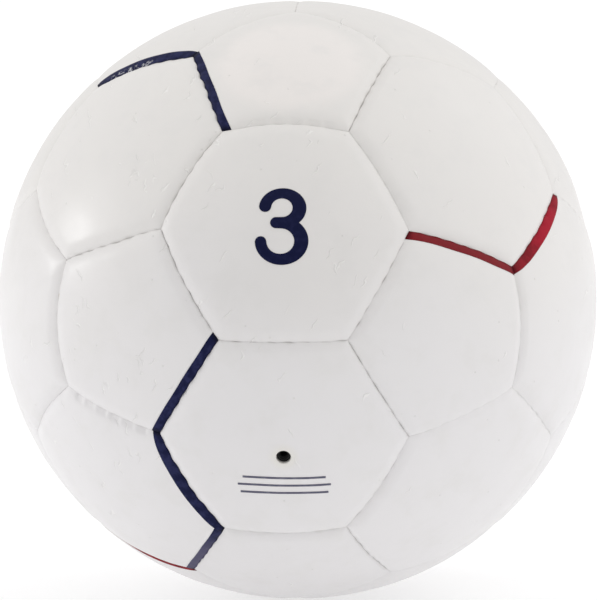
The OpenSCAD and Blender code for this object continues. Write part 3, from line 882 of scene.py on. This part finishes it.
def cover_height(tree, mm):
    """Height of the coated surface in mm, its creases and its pits: fine grain, short creases in clusters on
    the worn panels at the left and in the middle, and a few pits."""
    grain = calc(tree, "MULTIPLY", noise(tree, mm, 1.4, 3.0, 0.6), GRAIN_H)
    x = axis_of(tree, mm, 0)
    worn = ramp(tree, noise(tree, mm, 0.06, 1.0), 0.48, 0.62, 0.01, 0.4)
    upper_left = calc(tree, "SUBTRACT", axis_of(tree, mm, 2), calc(tree, "MULTIPLY", x, 0.8))
    for value, none_at, all_at in ((x, 42.0, 20.0), (x, -80.0, -68.0), (upper_left, -22.0, 10.0)):
        worn = calc(tree, "MULTIPLY", worn, ramp(tree, value, none_at, all_at))
    creases = 0.0
    for lean, start, none_at, all_at in ((0.65, 3.0, -50.0, -42.0), (-0.35, 40.0, -38.0, -46.0)):
        share = calc(tree, "MULTIPLY", worn, ramp(tree, x, none_at, all_at))
        creases = calc(tree, "ADD", strokes(tree, mm, lean, start, share), creases)
    cells = node(tree, "ShaderNodeTexVoronoi", {"Vector": mm, "Scale": 0.28})
    pit = ramp(tree, cells.outputs["Distance"], 0.05, 0.13, 1.0, 0.0)
    pits = calc(tree, "MULTIPLY", pit, ramp(tree, cell_draw(tree, cells), 0.86, 0.88))
    height = calc(tree, "ADD", grain, calc(tree, "MULTIPLY", creases, CREASE_H))
    return calc(tree, "SUBTRACT", height, calc(tree, "MULTIPLY", pits, PIT_DEPTH)), creases, pits


def white_cover():
    """White coated synthetic leather: warmer towards the top, one top panel whiter as painted light, yellowed
    at the valve hole, a painted highlight and a painted shade on the two sides of a crease, a darker grey in
    pits, and a grey of dirt and painted shade down in the seams and dimples."""
    material, tree, shader, mm = finish("white_cover", 0.36)
    height, creases, pits = cover_height(tree, mm)
    z = calc(tree, "ADD", axis_of(tree, mm, 2), calc(tree, "MULTIPLY", noise(tree, mm, 0.02, 1.0), 60.0))
    colour = blend_colours(tree, ramp(tree, z, -10.0, 105.0), LOW_WHITE, HIGH_WHITE)
    # Painted light: one top panel is made whiter in place of more light falling on it from above
    painted_light = ramp(tree, away_from(tree, mm, PAINTED_LIGHT_PANEL), 26.0, 18.0, 0.0, 0.8)
    colour = blend_colours(tree, painted_light, colour, PAINTED_LIGHT_WHITE)
    stain = ramp(tree, away_from(tree, mm, VALVE_STAIN), 5.5, 2.0, 0.0, 0.35)
    colour = blend_colours(tree, stain, colour, YELLOWED)
    patch = ramp(tree, noise(tree, mm, 0.09, 3.0, 0.6), 0.45, 0.75, 0.0, 0.35)
    colour = blend_colours(tree, patch, colour, GREYER)
    # Painted highlight on the raised side of each crease and painted shade on its sunk side
    colour = blend_colours(tree, ramp(tree, creases, 0.0, 1.0, 0.0, 0.4), colour, CREASE_PAINTED_HIGHLIGHT)
    colour = blend_colours(tree, ramp(tree, creases, 0.0, -0.7, 0.0, 0.25), colour, CREASE_PAINTED_SHADE)
    # Pits a little darker, in the same grey
    colour = blend_colours(tree, calc(tree, "MULTIPLY", pits, 0.25), colour, DIRT_AND_SHADE_GREY)
    # Grey down in the seams and dimples: painted shade of the groove and its dimples, with dirt
    near = ramp(tree, attribute(tree, "seam_mm"), 0.05, 0.9, 0.3, 0.0)
    seam_shade_and_dirt = calc(tree, "MULTIPLY", near, ramp(tree, noise(tree, mm, 0.2), 0.3, 0.7, 0.3, 1.0))
    colour = blend_colours(tree, seam_shade_and_dirt, colour, DIRT_AND_SHADE_GREY)
    tree.links.new(colour, shader.inputs["Base Color"])
    gloss = ramp(tree, noise(tree, mm, 0.06, 3.0), 0.3, 0.7, 0.31, 0.42)
    tree.links.new(gloss, shader.inputs["Roughness"])
    raise_surface(tree, shader, height)
    return material


def ink(name, fresh, worn, dark, tints=(), scuffs=()):
    """Printed ink: mottled between fresh and worn, darker along the seam as painted shade of the groove, and
    darker at its ends as painted shade in the corner with ink laid double.

    Each tint or scuff is a point in mm, how far it reaches, how near the seam it stays, how solid it is and
    its colour. Tints lie under the dark edges, and scuffs over them."""
    material, tree, shader, mm = finish(name, 0.5, 0.1)
    mottle = ramp(tree, noise(tree, mm, 0.35, 5.0, 0.65), 0.4, 0.62)
    colour = blend_colours(tree, mottle, fresh, worn)
    end = ramp(tree, attribute(tree, "end_mm"), 0.2, 2.2, 0.8, 0.0)
    seam = attribute(tree, "seam_mm")

    def speckled(colour, point, reach, width, solid, shade):
        """The colour with specks of a shade round a point, denser towards it."""
        speck = ramp(tree, noise(tree, mm, 0.9, 4.0, 0.7), 0.58 - solid, 0.64 - solid)
        fading = ramp(tree, away_from(tree, mm, point), 0.4 * reach, reach, 0.85, 0.0)
        speck = calc(tree, "MULTIPLY", speck, fading)
        speck = calc(tree, "MULTIPLY", speck, ramp(tree, seam, width, 0.6 * width))
        return blend_colours(tree, speck, colour, shade)

    for tint in tints:
        colour = speckled(colour, *tint)
    # Painted shade along the seam, and at the ends painted shade with ink laid double
    rim = calc(tree, "MAXIMUM", end, ramp(tree, seam, 0.1, 0.7, 0.4, 0.0))
    colour = blend_colours(tree, rim, colour, dark)
    for scuff in scuffs:
        colour = speckled(colour, *scuff)
    tree.links.new(colour, shader.inputs["Base Color"])
    raise_surface(tree, shader, cover_height(tree, mm)[0])
    return material


def plain_ink(name, fresh, worn):
    """Ink away from the seams, mottled between fresh and worn."""
    material, tree, shader, mm = finish(name, 0.5, 0.14)
    mottle = ramp(tree, noise(tree, mm, 0.5, 5.0, 0.65), 0.45, 0.75)
    tree.links.new(blend_colours(tree, mottle, fresh, worn), shader.inputs["Base Color"])
    raise_surface(tree, shader, cover_height(tree, mm)[0])
    return material


def rubber(name, colour):
    """Moulded rubber: dull, with a fine uneven skin."""
    material, tree, shader, mm = finish(name, 0.62, 0.3)
    lighter = tuple(min(1.0, 1.6 * c + 0.004) for c in colour)
    share = ramp(tree, noise(tree, mm, 0.5, 3.0), 0.35, 0.7)
    tree.links.new(blend_colours(tree, share, colour, lighter), shader.inputs["Base Color"])
    raise_surface(tree, shader, calc(tree, "MULTIPLY", noise(tree, mm, 3.0, 3.0), RUBBER_H))
    return material


def woven(name, colour, shade, pitch):
    """Woven cloth: two crossed waves of threads of the given pitch, darker down between the threads as
    painted shade.
    """
    material, tree, shader, mm = finish(name, 0.85, 0.2)
    inputs = {"Vector": mm, "Scale": 0.314 / pitch, "Distortion": 0.4}
    crossed = [node(tree, "ShaderNodeTexWave", inputs, bands_direction=axis) for axis in ("X", "Z")]
    height = calc(tree, "MAXIMUM", *(threads.outputs["Fac"] for threads in crossed))
    # Painted shade: the shade colour where the threads lie low
    tree.links.new(blend_colours(tree, height, shade, colour), shader.inputs["Base Color"])
    raise_surface(tree, shader, calc(tree, "MULTIPLY", height, CLOTH_H))
    return material


def add_panels(material):
    """Every cover panel, found by where its CAD node lies."""
    for name in sorted(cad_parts):
        if "panel" in name:
            low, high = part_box(name)
            panel = Panel(middle_index(np.array(low + high)))
            add_piece("dressed_" + name, panel_mesh(name, panel), material, "cover", name)


def dress(name, material):
    """Gives a CAD node, which stays as it is, a material of its own."""
    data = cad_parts[name].data
    data.materials.clear()
    data.materials.append(material)


def add_light(name, place, size, power):
    """A soft square lamp that faces the ball."""
    lamp = bpy.data.lights.new(name, "AREA")
    lamp.shape = "SQUARE"
    lamp.size = size
    lamp.energy = power
    made = bpy.data.objects.new(name, lamp)
    made.location = place
    made.rotation_euler = (-Vector(place)).to_track_quat("-Z", "Y").to_euler()
    bpy.context.scene.collection.objects.link(made)


def add_world():
    """White surroundings: dim in front, where the camera stands, with brighter walls at the sides, above and
    behind. The camera itself sees plain white."""
    world = bpy.data.worlds.new("studio")
    bpy.context.scene.world = world
    world.use_nodes = True
    tree = world.node_tree
    background = tree.nodes["Background"]
    background.inputs["Color"].default_value = (1, 1, 1, 1)
    way = node(tree, "ShaderNodeTexCoord").outputs["Generated"]
    level = DOME_LEVEL
    for axis, low, high, amount in WALLS:
        facing = node(tree, "ShaderNodeVectorMath", {0: way, 1: tuple(unit(axis))}, operation="DOT_PRODUCT")
        level = calc(tree, "ADD", ramp(tree, facing.outputs["Value"], low, high, 0.0, amount), level)
    eye = node(tree, "ShaderNodeLightPath").outputs["Is Camera Ray"]
    tree.links.new(calc(tree, "MAXIMUM", level, eye), background.inputs["Strength"])


def add_floor():
    """A pale floor under the ball, white to the eye but for the ball's soft shadow."""
    mesh = bpy.data.meshes.new("floor")
    signs = ((-1, -1), (1, -1), (1, 1), (-1, 1))
    corners = [(x * FLOOR_HALF, y * FLOOR_HALF, -BALL_R * MM) for x, y in signs]
    mesh.from_pydata(corners, [], [(0, 1, 2, 3)])
    floor = bpy.data.objects.new("floor", mesh)
    bpy.context.scene.collection.objects.link(floor)
    material, _, shader, _ = finish("pale_floor", 0.9, 0.0)
    shader.inputs["Base Color"].default_value = (0.6, 0.6, 0.6, 1)
    shader.inputs["Emission Color"].default_value = (1, 1, 1, 1)
    shader.inputs["Emission Strength"].default_value = FLOOR_GLOW
    mesh.materials.append(material)


def add_camera():
    """The photograph's view: from azimuth and elevation, with the ball's centre a little off the middle."""
    azimuth, elevation = math.radians(AZIMUTH), math.radians(ELEVATION)
    flat = math.cos(elevation)
    back = np.array([math.sin(azimuth) * flat, -math.cos(azimuth) * flat, math.sin(elevation)])
    right = unit(np.cross((0, 0, 1), back))
    up = np.cross(back, right)
    distance = DISTANCE_SHARE * BALL_R * MM
    step = distance / FOCAL_PX
    across, down = np.subtract(PICTURE_MIDDLE_PX, CENTRE_PX) * step
    data = bpy.data.cameras.new("camera")
    data.lens = FOCAL_PX / LONG_SIDE_PX * data.sensor_width
    data.clip_start, data.clip_end = 0.1, 60
    camera = bpy.data.objects.new("camera", data)
    camera.location = back * distance + right * across - up * down
    camera.rotation_mode = "QUATERNION"
    camera.rotation_quaternion = Vector(-back).to_track_quat("-Z", "Y")
    bpy.context.scene.collection.objects.link(camera)
    bpy.context.scene.camera = camera


add_panels(white_cover())

navy_tints = [((-30.0, -50.0, -74.0), 20.0, 9.0, 0.3, (0.08, 0.073, 0.14))]
navy_scuffs = [((-51.0, -26.0, 74.0), 11.5, 2.0, 0.07, (0.6, 0.6, 0.63))]
# Fresh, worn, and the darker colour of the painted shade along the seam and at the ends
navy_shades = ((0.004, 0.006, 0.04), (0.017, 0.02, 0.075), (0.002, 0.002, 0.01))
navy = ink("navy_ink", *navy_shades, navy_tints, navy_scuffs)
red_tints = [
    ((54.7, -70.9, 28.6), 30.0, 9.0, 0.5, (0.19, 0.0145, 0.019)),
    ((79.0, -42.0, 27.0), 13.0, 9.0, 0.3, (0.38, 0.006, 0.024)),
]
red_scuffs = [((-60.6, -19.6, -69.2), 17.0, 9.0, 0.6, (0.75, 0.74, 0.73))]
# Fresh, worn, and the darker colour of the painted shade along the seam and at the ends
red_shades = ((0.2, 0.004, 0.012), (0.3, 0.008, 0.02), (0.07, 0.001, 0.005))
red = ink("red_ink", *red_shades, red_tints, red_scuffs)
numeral_ink = plain_ink("numeral_ink", (0.002, 0.004, 0.034), (0.008, 0.01, 0.05))
line_ink = plain_ink("line_ink", (0.11, 0.11, 0.16), (0.18, 0.175, 0.23))
add_piece("dressed_navy_bands", bands_mesh("navy_bands", NAVY_BANDS), navy, "navy_ink", "navy_bands")
add_piece("dressed_red_bands", bands_mesh("red_bands", RED_BANDS), red, "red_ink", "red_bands")
add_piece("dressed_numeral", numeral_mesh("numeral_print"), numeral_ink, "navy_ink", "numeral_print")
add_piece("dressed_valve_lines", valve_lines_mesh("valve_lines"), line_ink, "navy_ink", "valve_lines")

cloth = woven("lining_cloth", (0.62, 0.55, 0.43), (0.4, 0.34, 0.25), 0.6)
thread = woven("waxed_thread", (0.7, 0.69, 0.66), (0.45, 0.44, 0.42), 0.35)
for name in ("hexagon_linings", "pentagon_linings"):
    dress(name, cloth)
for name in ("hexagon_seam_threads", "pentagon_seam_threads"):
    dress(name, thread)
dress("bladder", rubber("bladder_rubber", (0.03, 0.03, 0.032)))
for name in ("valve_neck", "valve_core"):
    dress(name, rubber("valve_rubber", (0.008, 0.008, 0.008)))

scene = bpy.context.scene
scene.view_settings.view_transform = "Standard"
add_world()
add_floor()
add_light("left_softbox", SOFTBOX_PLACE, SOFTBOX_SIZE, SOFTBOX_POWER)
add_camera()
